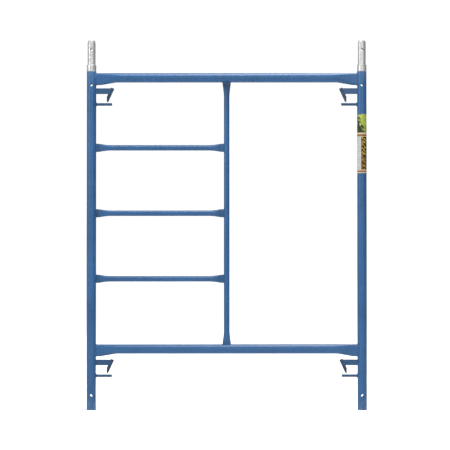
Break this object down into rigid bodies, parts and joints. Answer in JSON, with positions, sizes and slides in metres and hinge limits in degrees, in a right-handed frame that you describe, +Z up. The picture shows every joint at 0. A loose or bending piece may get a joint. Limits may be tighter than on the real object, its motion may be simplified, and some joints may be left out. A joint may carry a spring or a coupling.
{
  "type": "scaffold frame section",
  "caption": "Welded tube scaffold frame with a side ladder, coupling pins on top and gravity-latch brace studs inside each leg.",
  "frame": {"origin": "on the ground, midway between the two legs, on the frame's centre plane", "axes": "+X across the width towards the right leg, -Y is the front with the label, +Z up the legs"},
  "size_m": [1.262, 0.043, 1.6635],
  "materials": {
    "blue_paint": "semi-gloss",
    "latch_paint": "semi-gloss",
    "weld_paint": "semi-gloss",
    "galvanised": "galvanised",
    "rivet_steel": "semi-gloss",
    "label": "satin"
  },
  "bodies": {
    "frame": {"left_leg": "blue_paint", "right_leg": "blue_paint", "top_bearer": "blue_paint", "bottom_bearer": "blue_paint", "ladder_stile": "blue_paint", "rung_lower": "blue_paint", "rung_middle": "blue_paint", "rung_upper": "blue_paint", "brace_stud_upper_left": "blue_paint", "brace_stud_upper_right": "blue_paint", "brace_stud_lower_left": "blue_paint", "brace_stud_lower_right": "blue_paint", "lock_arm_upper_left": "blue_paint", "lock_arm_upper_right": "blue_paint", "lock_arm_lower_left": "blue_paint", "lock_arm_lower_right": "blue_paint", "latch_rivets": "rivet_steel", "welds_left_leg": "weld_paint", "welds_right_leg": "weld_paint", "welds_ladder": "weld_paint", "leg_label": "label"},
    "latch_upper_left": {"latch_upper_left": "latch_paint"},
    "latch_upper_right": {"latch_upper_right": "latch_paint"},
    "latch_lower_left": {"latch_lower_left": "latch_paint"},
    "latch_lower_right": {"latch_lower_right": "latch_paint"},
    "coupling_pin_left": {"coupling_pin_left": "galvanised", "pin_collar_left": "galvanised"},
    "coupling_pin_right": {"coupling_pin_right": "galvanised", "pin_collar_right": "galvanised"}
  },
  "joints": [
    {"name": "latch_upper_left_swing", "type": "hinge", "parent": "frame", "child": "latch_upper_left", "pos_m": [-0.51995, 0, 1.43605], "axis": [0, 1, 0], "range_deg": [0, 68]},
    {"name": "latch_upper_right_swing", "type": "hinge", "parent": "frame", "child": "latch_upper_right", "pos_m": [0.51995, 0, 1.43605], "axis": [0, -1, 0], "range_deg": [0, 68]},
    {"name": "latch_lower_left_swing", "type": "hinge", "parent": "frame", "child": "latch_lower_left", "pos_m": [-0.51995, 0, 0.21385], "axis": [0, 1, 0], "range_deg": [0, 68]},
    {"name": "latch_lower_right_swing", "type": "hinge", "parent": "frame", "child": "latch_lower_right", "pos_m": [0.51995, 0, 0.21385], "axis": [0, -1, 0], "range_deg": [0, 68]},
    {"name": "coupling_pin_left_lift", "type": "slide", "parent": "frame", "child": "coupling_pin_left", "axis": [0, 0, 1], "range_m": [0, 0.13]},
    {"name": "coupling_pin_right_lift", "type": "slide", "parent": "frame", "child": "coupling_pin_right", "axis": [0, 0, 1], "range_m": [0, 0.13]}
  ]
}
